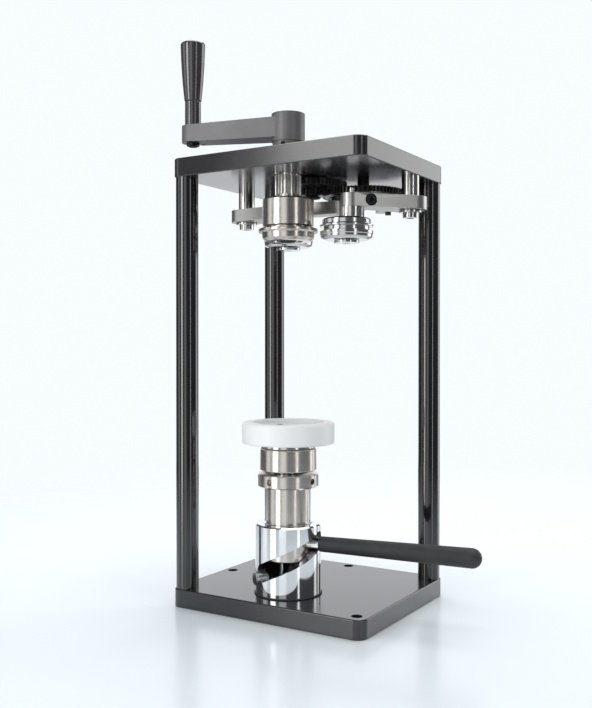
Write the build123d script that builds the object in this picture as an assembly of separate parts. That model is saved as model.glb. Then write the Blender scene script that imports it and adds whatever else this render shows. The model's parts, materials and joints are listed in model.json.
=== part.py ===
from build123d import *
import os
from math import acos, atan2, cos, degrees, hypot, pi, radians, sin, sqrt, tan

os.makedirs("parts", exist_ok=True)

# Frame: millimetres, Z up, origin at the centre of the base plate's underside.
# X runs along the front edge, Y to the back.

# Clearances
running = 0.05         # radial room of a shaft that turns in its bush
side_play = 0.5        # room between a turning face and its neighbour
bolt_room = 0.25       # radial room of a screw in its through hole

# Plates and posts
plate_w = 210.0
plate_d = 180.0
base_t = 18.0
roof_t = 18.0
plate_corner = 10.0
plate_chamfer = 0.8
post_r = 11.0
post_len = 400.0
post_edge = 0.5        # from the post's side to the plate's edge
fixing_r = 5.0         # the three holes that screw the machine to a bench
fixing_edge = 10.0     # from such a hole's centre to the plate's edge

# Post screws, M8 socket heads
post_screw_r = 4.0
post_screw_head_r = 6.5
post_screw_head_h = 8.0
post_screw_grip = 16.0
hex_af = 0.45          # socket width as a share of the head's diameter

# The axis of lift, chuck and crank
seam_x = 0.0
seam_y = -42.0

# Lift barrel
barrel_wall = 9.6
barrel_h = 67.0
barrel_chamfer = 1.2
seat_ring_w = 1.0
seat_ring_h = 1.2
barrel_screw_r = 2.5
barrel_screw_head_r = 4.25
barrel_screw_head_h = 5.0
barrel_screw_grip = 12.0

# Helical slot of the barrel and the lever that climbs it
lever_r = 5.0
lever_z = 67.0         # rod's height at the top of its climb
lever_angle = 7.5      # its direction there
slot_rise = 0.249      # climb per degree
slot_w = 16.8          # across the slot
slot_span = 121.0      # degrees between the centres of its round ends
slot_over = 3.0        # degrees that the slot runs on past the raised lever
stop_pin_r = 6.0
stop_pin_proud = 3.0
stop_pin_angle = 235.0
stop_pin_groove = 0.6
grip_start = 1.5       # from barrel wall to grip
grip_end = 187.0
grip_r0 = 7.25
grip_r1 = 9.0
lever_in_grip = 112.0

# Plunger, adjusting ring, spring and table
plunger_r = 21.5
plunger_room = 0.5     # radial room of the plunger in the barrel
plunger_z0 = 50.0
plunger_len = 70.0
plunger_floor = 30.0   # solid foot of the plunger, which the lever screws into
spigot_r = 18.0
spigot_len = 11.0
ring_r = 29.0
ring_h = 12.6
spanner_hole_r = 3.0
spanner_hole_depth = 6.0
spanner_hole_angle = -96.0
spring_bore_r = 14.0
spring_seat_h = 4.0
spring_wire_r = 1.5
spring_turns = 4.0
spring_len = 29.0
table_travel = 2.6     # the gap that closes when the can is pressed to the chuck
housing_r = 27.0
housing_h = 21.5
table_bearing_r = 17.5
table_bearing_h = 10.0
hub_spigot_r = 8.5
hub_r = 26.0
hub_h = 4.0
platform_r = 44.5
platform_h = 20.5
platform_round = 3.0
can_seat_r = 33.5
can_seat_depth = 4.0
table_screw_r = 2.5
table_screw_ring = 18.0

# Spindle line
spindle_r = 7.5
spindle_collar_r = 10.5
bearing_r = 16.0
bearing_h = 9.0
race_w = 2.5
cover_r = 24.0
cover_h = 4.0
cover_screw_ring = 19.8
cover_screw_r = 1.5
collar_r = 15.0
collar_h = 7.6
set_screw_r = 2.5
hub_out_r = 16.0
hub_height = 26.8
crank_gap = 1.0

# Chuck and its holder
holder_r = 24.6
holder_h = 27.0
holder_top_drop = 23.5  # from the top plate's underside to the holder
chuck_lip_r = 28.6
chuck_lip_h = 3.2
chuck_neck_h = 1.8
chuck_neck_r = 21.5
chuck_nose_r = 25.6
chuck_nose_h = 8.5
chuck_recess_r = 14.0
chuck_recess_h = 4.0
chuck_screw_r = 4.0
chuck_screw_head_r = 7.5
chuck_screw_head_h = 5.0

# Crank and handle
crank_throw = 100.0
crank_angle = 192.6
crank_t = 19.0
crank_below_hub = 4.0   # step from the hub's top down to the arm
crank_thinning = 2.6    # the arm's underside rises this much towards its tip
crank_root_r = 14.0
crank_tip_r = 11.0
handle_bolt_r = 4.0
handle_bolt_drop = 12.0  # from the grip's top to the bolt's head
handle_bolt_head_w = 1.5
handle_bolt_head_h = 3.0
handle_nut_r = 6.0
handle_nut_h = 3.0
ferrule_r = 8.0
ferrule_h = 24.0
handle_len = 58.5
handle_foot_r = 8.5
handle_top_r = 12.3
handle_swell = 2.4
handle_round = 3.0

# Gear train
gear_module = 1.25
pressure_angle = 20.0
backlash = 0.16
pinion_teeth = 18
idler_teeth = 54
idler_pinion_teeth = 20
cam_teeth = 64
gear_t = 6.0
gear_gap = 1.0
roof_gap = 1.5
idler_angle = 90.0     # from the spindle to the idler
cam_angle = 41.2       # from the idler to the cam
stud_r = 6.0
stud_head_r = 9.0
stud_thread_r = 4.0
cam_t = 5.0
cam_base_r = 13.0
cam_lobe_r = 18.8
gear_web = 1.2         # depth of the dished web of the large gears

# Arms, rollers and followers
arm_t = 12.5
arm_boss_r = 16.0
arm_end_r = 10.5
tail_t = 6.0
tail_end_r = 6.0
pivot_r = 8.5
first_pivot = (96.0, 27.0)
second_pivot = (-91.0, 20.0)
first_roller_at = (54.0, -24.5)
second_roller_at = (-30.0, 6.5)
follower_r = 8.0
follower_gap = 0.5     # from a follower to the highest lobe
follower_pin_r = 3.0
first_follower_angle = 50.0     # seen from the cam's axis
second_follower_angle = 237.3
roller_r = 23.0
roller_rim_r = 25.4
roller_rim_h = 1.6      # the rim above the seaming groove
roller_flange_r = 25.2
roller_flange_h = 3.6   # the flange below it
roller_foot_r = 24.6
roller_neck_r = 21.6
groove_room = 0.4       # from the chuck's lip to the groove's walls
roller_len = 20.5
roller_below_arm = 11.0
eccentric = 4.8         # from the roller's axis to the axle's seat in the arm
axle_r = 6.0
axle_collar_r = 11.9
axle_tip_r = 2.6        # turned to set the roller's gap
axle_tip_h = 5.5
roller_screw_r = 3.0
roller_screw_head_r = 12.0
roller_screw_head_h = 2.5
roller_screw_hex_r = 3.0
clamp_screw_r = 3.0
clamp_head_r = 5.5
clamp_head_h = 6.0
clamp_from_axle = 14.8
washer_h = 2.0
washer_r = 11.0
pivot_head_r = 7.5
pivot_head_h = 5.0
pivot_screw_r = 4.0
nut_r = 6.5
nut_h = 6.5
nut_below = 0.5         # from the sunk nut to the plate's top
nut_slot_w = 2.0
nut_slot_h = 2.0
spring_pin_r = 1.8
return_coil_r = 2.4
return_wire_r = 0.7
return_turns = 14
first_spring_tail = 16.5        # from the first follower on along the tail
first_spring_post = (-6.0, 50.0)
second_spring_post = (-45.0, 80.0)
second_spring_along = 0.35      # share of the way from pivot to far end

# Levels and centres that follow
floor_z = base_t
roof_z = floor_z + post_len
roof_top = roof_z + roof_t
barrel_top = floor_z + barrel_h
barrel_bore_r = plunger_r + plunger_room
barrel_r = barrel_bore_r + barrel_wall
nut_seat_z = roof_top - nut_below - nut_h
post_x = plate_w / 2 - post_r - post_edge
post_y = plate_d / 2 - post_r - post_edge
posts = {
    "front_left_post": (-post_x, -post_y),
    "back_left_post": (-post_x, post_y),
    "back_right_post": (post_x, post_y),
}
seam = (seam_x, seam_y)
fixings = [
    (-plate_w / 2 + fixing_edge, 0.0),
    (0.0, plate_d / 2 - fixing_edge),
    (post_x, -post_y),
]
layer_a = roof_z - roof_gap - gear_t
layer_b = layer_a - gear_gap - gear_t
cam_z = layer_b - cam_t
arm_top = cam_z - gear_gap
arm_z = arm_top - arm_t
gear_span = gear_module * (pinion_teeth + idler_teeth) / 2
cam_span = gear_module * (idler_pinion_teeth + cam_teeth) / 2


def polar(centre, distance, angle):
    """Point at a distance and an angle in degrees from a centre."""
    a = radians(angle)
    return (centre[0] + distance * cos(a), centre[1] + distance * sin(a))


def heading(start, end):
    """Angle in degrees from one point to another."""
    return degrees(atan2(end[1] - start[1], end[0] - start[0]))


def span(start, end):
    return hypot(end[0] - start[0], end[1] - start[1])


idler_at = polar(seam, gear_span, idler_angle)
cam_at = polar(idler_at, cam_span, cam_angle)
follower_reach = cam_lobe_r + follower_r + follower_gap
first_follower_at = polar(cam_at, follower_reach, first_follower_angle)
second_follower_at = polar(cam_at, follower_reach, second_follower_angle)
first_axle_at = polar(first_roller_at, eccentric, heading(seam, first_roller_at))
second_axle_at = polar(second_roller_at, eccentric, heading(seam, second_roller_at))
first_tail_angle = heading(first_pivot, first_follower_at)
first_spring_at = polar(first_follower_at, first_spring_tail, first_tail_angle)
plunger_top = plunger_z0 + plunger_len
spring_floor = plunger_z0 + plunger_floor
spring_foot = spring_floor + spring_seat_h
ring_top = plunger_top + ring_h
housing_z = ring_top + table_travel
housing_top = housing_z + housing_h
platform_z = housing_top + side_play + hub_h
platform_top = platform_z + platform_h
holder_top = roof_z - holder_top_drop
holder_z = holder_top - holder_h
lip_z = holder_z - chuck_neck_h - chuck_lip_h
nose_z = lip_z - chuck_nose_h
crank_hub_z = roof_top + cover_h + crank_gap + collar_h
crank_top = crank_hub_z + hub_height
crank_z = crank_top - crank_below_hub - crank_t
handle_at = polar(seam, crank_throw, crank_angle)
roller_top = arm_z - roller_below_arm
roller_z = roller_top - roller_len


# Plain shapes

def disc(at, radius, z0, z1):
    return Pos(at[0], at[1], (z0 + z1) / 2) * Cylinder(radius, z1 - z0)


def ring(at, outer, inner, z0, z1):
    return disc(at, outer, z0, z1) - disc(at, inner, z0 - 1, z1 + 1)


def turned(at, *outline):
    """Solid turned about a vertical axis from (radius, height) points."""
    face = make_face(Polyline(*[(r, 0, z) for r, z in outline], close=True))
    return Pos(at[0], at[1], 0) * revolve(face, Axis.Z)


def radial_rod(at, angle, z, radius, start, end):
    """Round bar that points away from a vertical axis."""
    bar = Plane(origin=(start, 0, 0), z_dir=(1, 0, 0)) * Pos(0, 0, (end - start) / 2) * Cylinder(radius, end - start)
    return Pos(at[0], at[1], z) * Rot(0, 0, angle) * bar


def hexagon(at, radius, z0, z1, turn=0.0):
    """Upright six-sided bar, measured to its flats."""
    face = Pos(at[0], at[1], z0) * Rot(0, 0, turn) * RegularPolygon(radius / cos(pi / 6), 6)
    return extrude(face, z1 - z0)


def tapered_link(start, r0, end, r1, z0, z1):
    """Flat bar with two round ends of their own radii."""
    length = span(start, end)
    turn = heading(start, end)
    lean = acos((r0 - r1) / length)
    up0 = (r0 * cos(lean), r0 * sin(lean))
    up1 = (length + r1 * cos(lean), r1 * sin(lean))
    outline = [
        ThreePointArc((up0[0], -up0[1]), (-r0, 0), up0),
        Line(up0, up1),
        ThreePointArc(up1, (length + r1, 0), (up1[0], -up1[1])),
        Line((up1[0], -up1[1]), (up0[0], -up0[1])),
    ]
    face = Pos(start[0], start[1], z0) * Rot(0, 0, turn) * make_face(Wire(outline))
    return extrude(face, z1 - z0)


def socket_screw(at, shank_r, head_r, head_h, under_head, tip, up=True, hex_r=None):
    """Socket head screw: its head sits at under_head, its shank ends at tip."""
    away = -1 if up else 1
    head_end = under_head + away * head_h
    socket_end = head_end - away * head_h * 0.55
    low, high = sorted((under_head, head_end))
    screw = disc(at, head_r, low, high)
    low, high = sorted((under_head, tip))
    screw += disc(at, shank_r, low, high)
    low, high = sorted((head_end + away, socket_end))
    return screw - hexagon(at, hex_r or head_r * hex_af, low, high)


def involute(angle):
    return tan(angle) - angle


def gear_face(teeth, phase):
    """Outline of a spur gear, its first tooth centred on the phase angle."""
    pitch_r = gear_module * teeth / 2
    base_r = pitch_r * cos(radians(pressure_angle))
    root_r = pitch_r - 1.25 * gear_module
    tip_r = pitch_r + 0.95 * gear_module
    half = pi / (2 * teeth) - backlash / (2 * pitch_r) + involute(radians(pressure_angle))
    flank = []
    for radius in (root_r, pitch_r, tip_r):
        roll = acos(min(1.0, base_r / radius))
        flank.append((radius, half - involute(roll)))
    points = []
    for tooth in range(teeth):
        centre = radians(phase) + 2 * pi * tooth / teeth
        for radius, lean in flank:
            points.append((radius * cos(centre - lean), radius * sin(centre - lean)))
        for radius, lean in reversed(flank):
            points.append((radius * cos(centre + lean), radius * sin(centre + lean)))
    return make_face(Polyline(*points, close=True))


def gear(at, teeth, phase, z0, bore, thick=gear_t):
    body = Pos(at[0], at[1], z0) * extrude(gear_face(teeth, phase), thick)
    return body - disc(at, bore, z0 - 1, z0 + thick + 1)


def dished(body, at, teeth, z0, hub_radius):
    """Turns the web of a large gear thinner between hub and rim."""
    rim_r = gear_module * teeth / 2 - 4 * gear_module
    for low, high in ((z0 - 1, z0 + gear_web), (z0 + gear_t - gear_web, z0 + gear_t + 1)):
        body -= ring(at, rim_r, hub_radius, low, high)
    return body


# Plates, posts and their screws

def plate(z0, thick):
    body = Pos(0, 0, z0) * extrude(RectangleRounded(plate_w, plate_d, plate_corner), thick)
    rims = body.edges().group_by(Axis.Z)
    return chamfer(rims[0] + rims[-1], plate_chamfer)


def screw_seat(at, shank_r, head_r, head_h, outer_face, inner_face):
    """Counterbored hole for a socket head that is sunk in the outer face."""
    inward = 1 if inner_face > outer_face else -1
    seat = outer_face + inward * (head_h + bolt_room)
    hole = disc(at, shank_r + bolt_room, *sorted((outer_face - inward, inner_face + inward)))
    return hole + disc(at, head_r + bolt_room, *sorted((outer_face - inward, seat)))


def barrel_screw_spots():
    middle = (barrel_r + barrel_bore_r) / 2
    return [polar(seam, middle, 60 + 120 * i) for i in range(3)]


def base_plate():
    body = plate(0, base_t)
    for at in fixings:
        body -= disc(at, fixing_r, -1, base_t + 1)
    for at in posts.values():
        body -= screw_seat(at, post_screw_r, post_screw_head_r, post_screw_head_h, 0, base_t)
    for at in barrel_screw_spots():
        body -= screw_seat(at, barrel_screw_r, barrel_screw_head_r, barrel_screw_head_h, 0, base_t)
    return body


def stud_spots():
    return [idler_at, cam_at, first_pivot, second_pivot]


def spring_posts():
    return [first_spring_post, second_spring_post]


def top_plate():
    body = plate(roof_z, roof_t)
    for at in posts.values():
        body -= screw_seat(at, post_screw_r, post_screw_head_r, post_screw_head_h, roof_top, roof_z)
    for at in stud_spots():
        body -= disc(at, stud_thread_r + bolt_room, roof_z - 1, roof_top + 1)
        body -= disc(at, nut_r + bolt_room, nut_seat_z, roof_top + 1)
    for at in spring_posts():
        body -= disc(at, spring_pin_r, roof_z - 1, roof_z + roof_t / 2)
    for i in range(3):
        at = polar(seam, cover_screw_ring, 90 + 120 * i)
        body -= disc(at, cover_screw_r, roof_top - 8, roof_top + 1)
    return body - disc(seam, bearing_r, roof_z - 1, roof_top + 1)


def post(at):
    body = disc(at, post_r, floor_z, roof_z)
    for low, high in ((floor_z - 1, floor_z + post_screw_grip), (roof_z - post_screw_grip, roof_z + 1)):
        body -= disc(at, post_screw_r, low, high)
    return body


def post_screws(under_head, tip, up):
    return [socket_screw(at, post_screw_r, post_screw_head_r, post_screw_head_h, under_head, tip, up)
            for at in posts.values()]


# Lift: barrel, lever and plunger

def slot_height(angle):
    """Height of the middle of the slot at a direction, a little over the rod's own."""
    lean = atan2(slot_rise, radians(1) * barrel_bore_r)
    rod_room = lever_r / cos(lean) + side_play
    half = slot_w / 2 / cos(atan2(slot_rise, radians(1) * barrel_r))
    return lever_z + slot_rise * (angle - lever_angle) + half - rod_room


def helical_slot():
    middle = (barrel_r + barrel_bore_r) / 2
    reach = barrel_r - barrel_bore_r + 6
    first = lever_angle + slot_over - slot_span
    path = Helix(360 * slot_rise, slot_rise * slot_span, middle)
    start = Plane(origin=path @ 0, x_dir=(1, 0, 0), z_dir=path % 0)
    cutter = sweep(start * Rectangle(reach, slot_w), path, is_frenet=True)
    cutter = Pos(seam_x, seam_y, slot_height(first)) * Rot(0, 0, first) * cutter
    for angle in (first, first + slot_span):
        cutter += radial_rod(seam, angle, slot_height(angle), slot_w / 2, middle - reach / 2, middle + reach / 2)
    return cutter


def stop_pin_height():
    return lever_z + slot_rise * (stop_pin_angle - 360 - lever_angle)


def lift_barrel():
    body = turned(
        seam,
        (barrel_bore_r, floor_z),
        (barrel_r, floor_z),
        (barrel_r, barrel_top - barrel_chamfer),
        (barrel_r - barrel_chamfer, barrel_top),
        (barrel_bore_r + barrel_chamfer, barrel_top),
        (barrel_bore_r, barrel_top - barrel_chamfer),
    )
    body -= helical_slot()
    body -= radial_rod(seam, stop_pin_angle, stop_pin_height(), stop_pin_r, barrel_bore_r - 2, barrel_r + 2)
    for at in barrel_screw_spots():
        body -= disc(at, barrel_screw_r, floor_z - 1, floor_z + barrel_screw_grip)
    return body


def slot_stop_pin():
    start = barrel_bore_r + 0.3
    end = barrel_r + stop_pin_proud
    pin = radial_rod(seam, stop_pin_angle, stop_pin_height(), stop_pin_r, start, end)
    middle = barrel_r + stop_pin_proud / 2
    groove = radial_rod(seam, stop_pin_angle, stop_pin_height(), stop_pin_r + 1, middle - 0.5, middle + 0.5)
    core = radial_rod(seam, stop_pin_angle, stop_pin_height(), stop_pin_r - stop_pin_groove, start, end)
    return pin - (groove - core)


def barrel_screws():
    under_head = barrel_screw_head_h + bolt_room
    return [socket_screw(at, barrel_screw_r, barrel_screw_head_r, barrel_screw_head_h, under_head,
                         floor_z + barrel_screw_grip - 1) for at in barrel_screw_spots()]


def plunger():
    body = turned(
        seam,
        (0, plunger_z0),
        (plunger_r - 1, plunger_z0),
        (plunger_r, plunger_z0 + 1),
        (plunger_r, plunger_top),
        (spigot_r, plunger_top),
        (spigot_r, plunger_top + spigot_len),
        (spring_bore_r, plunger_top + spigot_len),
        (spring_bore_r, spring_floor),
        (0, spring_floor),
    )
    return body - radial_rod(seam, lever_angle, lever_z, lever_r, lever_start(), plunger_r + 2)


def lever_start():
    return lever_r + 2


def adjusting_ring():
    middle = plunger_top + ring_h / 2
    body = turned(
        seam,
        (spigot_r, plunger_top),
        (ring_r - 1, plunger_top),
        (ring_r, plunger_top + 1),
        (ring_r, ring_top - 1),
        (ring_r - 1, ring_top),
        (spigot_r, ring_top),
    )
    for i in range(4):
        angle = spanner_hole_angle + 90 * i
        body -= radial_rod(seam, angle, middle, spanner_hole_r, ring_r - spanner_hole_depth, ring_r + 2)
    return body


def lever_rod():
    return radial_rod(seam, lever_angle, lever_z, lever_r, lever_start(), barrel_r + grip_start + lever_in_grip)


def lever_grip():
    """Tapered hand grip with a domed end, bored for the rod."""
    start = barrel_r + grip_start
    shoulder = grip_end - grip_r1
    bore_end = start + lever_in_grip
    outline = [
        Line((start, lever_r), (start, grip_r0 - 1)),
        Line((start, grip_r0 - 1), (start + 1, grip_r0)),
        Line((start + 1, grip_r0), (shoulder, grip_r1)),
        ThreePointArc((shoulder, grip_r1), (shoulder + grip_r1 * sqrt(0.5), grip_r1 * sqrt(0.5)), (grip_end, 0)),
        Line((grip_end, 0), (bore_end, 0)),
        Line((bore_end, 0), (bore_end, lever_r)),
        Line((bore_end, lever_r), (start, lever_r)),
    ]
    grip = revolve(make_face(Wire(outline)), Axis.X)
    return Pos(seam_x, seam_y, lever_z) * Rot(0, 0, lever_angle) * grip


# Table: spring, stem, housing, bearing and platform

def coil(at, radius, wire, turns, length, sides=6):
    """Compression spring with its axis upright and its ends at 0 and length."""
    pitch = (length - 2 * wire) / turns
    path = Helix(pitch, pitch * turns, radius)
    start = Plane(origin=path @ 0, x_dir=(1, 0, 0), z_dir=path % 0)
    section = start * RegularPolygon(wire, sides)
    return Pos(at[0], at[1], wire) * sweep(section, path, is_frenet=True)


def pressure_spring():
    radius = spring_bore_r - spring_wire_r - 1
    return Pos(0, 0, spring_foot) * coil(seam, radius, spring_wire_r, spring_turns, spring_len)


def table_stem():
    low = spring_foot + spring_len
    return turned(
        seam,
        (0, low),
        (spring_bore_r - running - 1, low),
        (spring_bore_r - running, low + 1),
        (spring_bore_r - running, housing_z),
        (0, housing_z),
    )


def bearing_floor():
    return housing_top - table_bearing_h - 1


def table_housing():
    rim = table_bearing_r
    return turned(
        seam,
        (0, housing_z),
        (housing_r - 1, housing_z),
        (housing_r, housing_z + 1),
        (housing_r, housing_top - 1),
        (housing_r - 1, housing_top),
        (rim, housing_top),
        (rim, bearing_floor()),
        (rim - race_w, bearing_floor()),
        (rim - race_w, bearing_floor() - 1.5),
        (0, bearing_floor() - 1.5),
    )


def outer_race(at, bore, outer, z0, height):
    """Outer ring with its two shields, which end short of the inner ring."""
    shield = 0.8
    inner_edge = bore + race_w + side_play
    groove = outer - race_w
    return turned(
        at,
        (inner_edge, z0),
        (outer, z0),
        (outer, z0 + height),
        (inner_edge, z0 + height),
        (inner_edge, z0 + height - shield),
        (groove, z0 + height - shield),
        (groove, z0 + shield),
        (inner_edge, z0 + shield),
    )


def inner_race(at, bore, z0, height):
    return ring(at, bore + race_w, bore, z0, z0 + height)


def table_hub():
    """Steel hub: a spigot in the bearing and a flange that carries the platform."""
    flange_z = housing_top + side_play
    body = turned(
        seam,
        (0, bearing_floor()),
        (hub_spigot_r, bearing_floor()),
        (hub_spigot_r, flange_z),
        (hub_r, flange_z),
        (hub_r, flange_z + hub_h),
        (0, flange_z + hub_h),
    )
    for at in table_screw_spots():
        body -= disc(at, table_screw_r, flange_z - 1, flange_z + hub_h + 1)
    return body


def table_screw_spots():
    return [polar(seam, table_screw_ring, 30 + 120 * i) for i in range(3)]


def can_platform():
    """White disc with rounded rims and a shallow seat for the can's foot."""
    top_edge = platform_round
    outline = [
        Line((0, platform_z), (platform_r - 1, platform_z)),
        Line((platform_r - 1, platform_z), (platform_r, platform_z + 1)),
        Line((platform_r, platform_z + 1), (platform_r, platform_top - top_edge)),
        ThreePointArc((platform_r, platform_top - top_edge),
                      (platform_r - top_edge * (1 - sqrt(0.5)), platform_top - top_edge * (1 - sqrt(0.5))),
                      (platform_r - top_edge, platform_top)),
        Line((platform_r - top_edge, platform_top), (can_seat_r + 1, platform_top)),
        Line((can_seat_r + 1, platform_top), (can_seat_r, platform_top - 1)),
        Line((can_seat_r, platform_top - 1), (can_seat_r, platform_top - can_seat_depth)),
        Line((can_seat_r, platform_top - can_seat_depth), (0, platform_top - can_seat_depth)),
        Line((0, platform_top - can_seat_depth), (0, platform_z)),
    ]
    face = Plane.XZ * make_face(Wire(outline))
    body = Pos(seam_x, seam_y, 0) * revolve(face, Axis.Z)
    seat = platform_top - can_seat_depth
    for at in table_screw_spots():
        body -= disc(at, table_screw_r + bolt_room, platform_z - 1, seat + 1)
        body -= disc(at, table_screw_r + 2 + bolt_room, seat - 3 - bolt_room, seat + 1)
    return body


def table_screws():
    seat = platform_top - can_seat_depth
    flange_z = housing_top + side_play
    return [socket_screw(at, table_screw_r, table_screw_r + 2, 3, seat - 3 - bolt_room, flange_z, False)
            for at in table_screw_spots()]


# Spindle, bearings, chuck and crank

def spindle():
    collar_low = holder_top
    collar_high = layer_b - 5
    return turned(
        seam,
        (0, holder_z + 6),
        (spindle_r, holder_z + 6),
        (spindle_r, collar_low),
        (spindle_collar_r, collar_low),
        (spindle_collar_r, collar_high),
        (spindle_r, collar_high),
        (spindle_r, crank_top - 1),
        (spindle_r - 1, crank_top),
        (0, crank_top),
    ) - disc(seam, chuck_screw_r, holder_z, holder_z + 18)


def drive_pinion():
    low = layer_b - 5
    return gear(seam, pinion_teeth, idler_angle, low, spindle_r, roof_z - 1 - low)


def chuck_holder():
    low = holder_z
    body = turned(
        seam,
        (0, low),
        (holder_r - 1, low),
        (holder_r, low + 1),
        (holder_r, holder_top - 1.5),
        (holder_r - 1.5, holder_top),
        (0, holder_top),
    )
    body -= disc(seam, spindle_r, holder_z + 6, holder_top + 1)
    return body - disc(seam, chuck_screw_r, holder_z - 1, holder_z + 7)


def seaming_chuck():
    """Chuck plate: neck, lip and tapered nose with a recess for its screw."""
    return turned(
        seam,
        (chuck_screw_r, holder_z),
        (chuck_neck_r, holder_z),
        (chuck_neck_r, lip_z + chuck_lip_h),
        (chuck_lip_r - 0.5, lip_z + chuck_lip_h),
        (chuck_lip_r, lip_z + chuck_lip_h - 0.5),
        (chuck_lip_r, lip_z + 0.5),
        (chuck_lip_r - 0.5, lip_z),
        (chuck_nose_r + 2.2, lip_z),
        (chuck_nose_r + 1.6, lip_z + 0.6),
        (chuck_nose_r + 0.6, lip_z),
        (chuck_nose_r, lip_z - 0.6),
        (chuck_nose_r - 0.8, nose_z + 2.5),
        (chuck_nose_r - 3.5, nose_z),
        (chuck_recess_r, nose_z),
        (chuck_recess_r - 1, nose_z + chuck_recess_h),
        (chuck_screw_r, nose_z + chuck_recess_h),
    )


def chuck_screw():
    seat = nose_z + chuck_recess_h
    return socket_screw(seam, chuck_screw_r, chuck_screw_head_r, chuck_screw_head_h, seat, holder_z + 17)


def bearing_levels():
    return [roof_z, roof_z + bearing_h]


def bearing_cover():
    body = ring(seam, cover_r, spindle_r + side_play, roof_top, roof_top + cover_h)
    for i in range(3):
        at = polar(seam, cover_screw_ring, 90 + 120 * i)
        body -= disc(at, cover_screw_r + bolt_room, roof_top - 1, roof_top + cover_h + 1)
        body -= disc(at, cover_screw_r + 1.5, roof_top + cover_h - 2, roof_top + cover_h + 1)
    return body


def cover_screws():
    seat = roof_top + cover_h - 2
    spots = [polar(seam, cover_screw_ring, 90 + 120 * i) for i in range(3)]
    return [socket_screw(at, cover_screw_r, cover_screw_r + 1.2, 1.8, seat, roof_top - 7, False) for at in spots]


def spindle_collar():
    low = roof_top + cover_h + crank_gap
    body = ring(seam, collar_r, spindle_r, low, crank_hub_z)
    return body - radial_rod(seam, set_screw_angle(), (low + crank_hub_z) / 2, set_screw_r, 0, collar_r + 1)


def set_screw_angle():
    return crank_angle + 90


def collar_set_screw():
    low = roof_top + cover_h + crank_gap
    z = (low + crank_hub_z) / 2
    body = radial_rod(seam, set_screw_angle(), z, set_screw_r, spindle_r, collar_r - 1)
    return body - radial_rod(seam, set_screw_angle(), z, set_screw_r * hex_af, collar_r - 3, collar_r)


def crank_underside():
    """Wedge that the arm's underside leaves open towards its tip."""
    reach = crank_throw + crank_tip_r + 1
    wedge = make_face(Polyline((hub_out_r, 0, 0), (reach, 0, crank_thinning), (reach, 0, -1), (hub_out_r, 0, -1),
                               close=True))
    wedge = extrude(wedge, crank_root_r + 1, both=True)
    return Pos(seam_x, seam_y, crank_z) * Rot(0, 0, crank_angle) * wedge


def crank_arm():
    """Hub and flat arm that narrows and thins to its rounded tip."""
    body = tapered_link(seam, crank_root_r, handle_at, crank_tip_r, crank_z, crank_z + crank_t)
    body -= crank_underside()
    body += disc(seam, hub_out_r, crank_hub_z, crank_top)
    body -= disc(seam, spindle_r, crank_hub_z - 1, crank_top + 1)
    body -= disc(handle_at, crank_tip_r + 1, crank_z - 1, crank_tip_z())
    return body - disc(handle_at, handle_bolt_r, crank_z - 1, crank_z + crank_t + 1)


def crank_tip_z():
    """Height of the arm's underside at the handle's nut, which takes the lean out with its seat."""
    return crank_z + crank_thinning


def handle_bolt():
    low = crank_tip_z() - handle_nut_h - 1
    high = crank_z + crank_t + ferrule_h + handle_len - handle_bolt_drop
    body = disc(handle_at, handle_bolt_r, low, high)
    return body + disc(handle_at, handle_bolt_r + handle_bolt_head_w, high, high + handle_bolt_head_h)


def handle_nut():
    nut = hexagon(handle_at, handle_nut_r, crank_tip_z() - handle_nut_h, crank_tip_z())
    return nut - disc(handle_at, handle_bolt_r, crank_z - handle_nut_h, crank_z + crank_t)


def handle_ferrule():
    low = crank_z + crank_t + side_play
    high = crank_z + crank_t + ferrule_h
    return ring(handle_at, ferrule_r, handle_bolt_r + running, low, high)


def handle_grip():
    """Turned grip that swells towards its domed top, hollow for the bolt's head."""
    low = crank_z + crank_t + ferrule_h
    high = low + handle_len
    bore = handle_bolt_r + running
    bolt_end = high - handle_bolt_drop
    cavity_top = bolt_end + handle_bolt_head_h + 1
    cavity_r = handle_bolt_r + handle_bolt_head_w + side_play
    outline = [
        Line((bore, low), (handle_foot_r - 1, low)),
        Line((handle_foot_r - 1, low), (handle_foot_r, low + 1)),
        ThreePointArc((handle_foot_r, low + 1), (handle_foot_r + handle_swell, low + handle_len * 0.45),
                      (handle_top_r, high - handle_round)),
        ThreePointArc((handle_top_r, high - handle_round),
                      (handle_top_r - handle_round * (1 - sqrt(0.5)), high - handle_round * (1 - sqrt(0.5))),
                      (handle_top_r - handle_round, high)),
        Line((handle_top_r - handle_round, high), (0, high)),
        Line((0, high), (0, cavity_top)),
        Line((0, cavity_top), (cavity_r, cavity_top)),
        Line((cavity_r, cavity_top), (cavity_r, bolt_end - side_play)),
        Line((cavity_r, bolt_end - side_play), (bore, bolt_end - side_play)),
        Line((bore, bolt_end - side_play), (bore, low)),
    ]
    face = Plane.XZ * make_face(Wire(outline))
    return Pos(handle_at[0], handle_at[1], 0) * revolve(face, Axis.Z)


# Gear train and cam

def gear_stud(at, low):
    """Shouldered stud that hangs from the top plate, threaded through it."""
    body = disc(at, stud_r, low, roof_z)
    return body + disc(at, stud_thread_r, roof_z, stud_top())


def stud_top():
    """The threads end at the foot of the slots in their nuts."""
    return nut_seat_z + nut_h - nut_slot_h


def stud_nuts():
    """Round slotted nuts, sunk in the top plate."""
    nuts = []
    for at in stud_spots():
        nut = ring(at, nut_r, stud_thread_r, nut_seat_z, nut_seat_z + nut_h)
        slot = Box(3 * nut_r, nut_slot_w, 2 * nut_slot_h)
        nuts.append(nut - Pos(at[0], at[1], nut_seat_z + nut_h) * Rot(0, 0, crank_angle) * slot)
    return nuts


def idler_low():
    return layer_b - 3


def cam_low():
    return cam_z - 1


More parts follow.
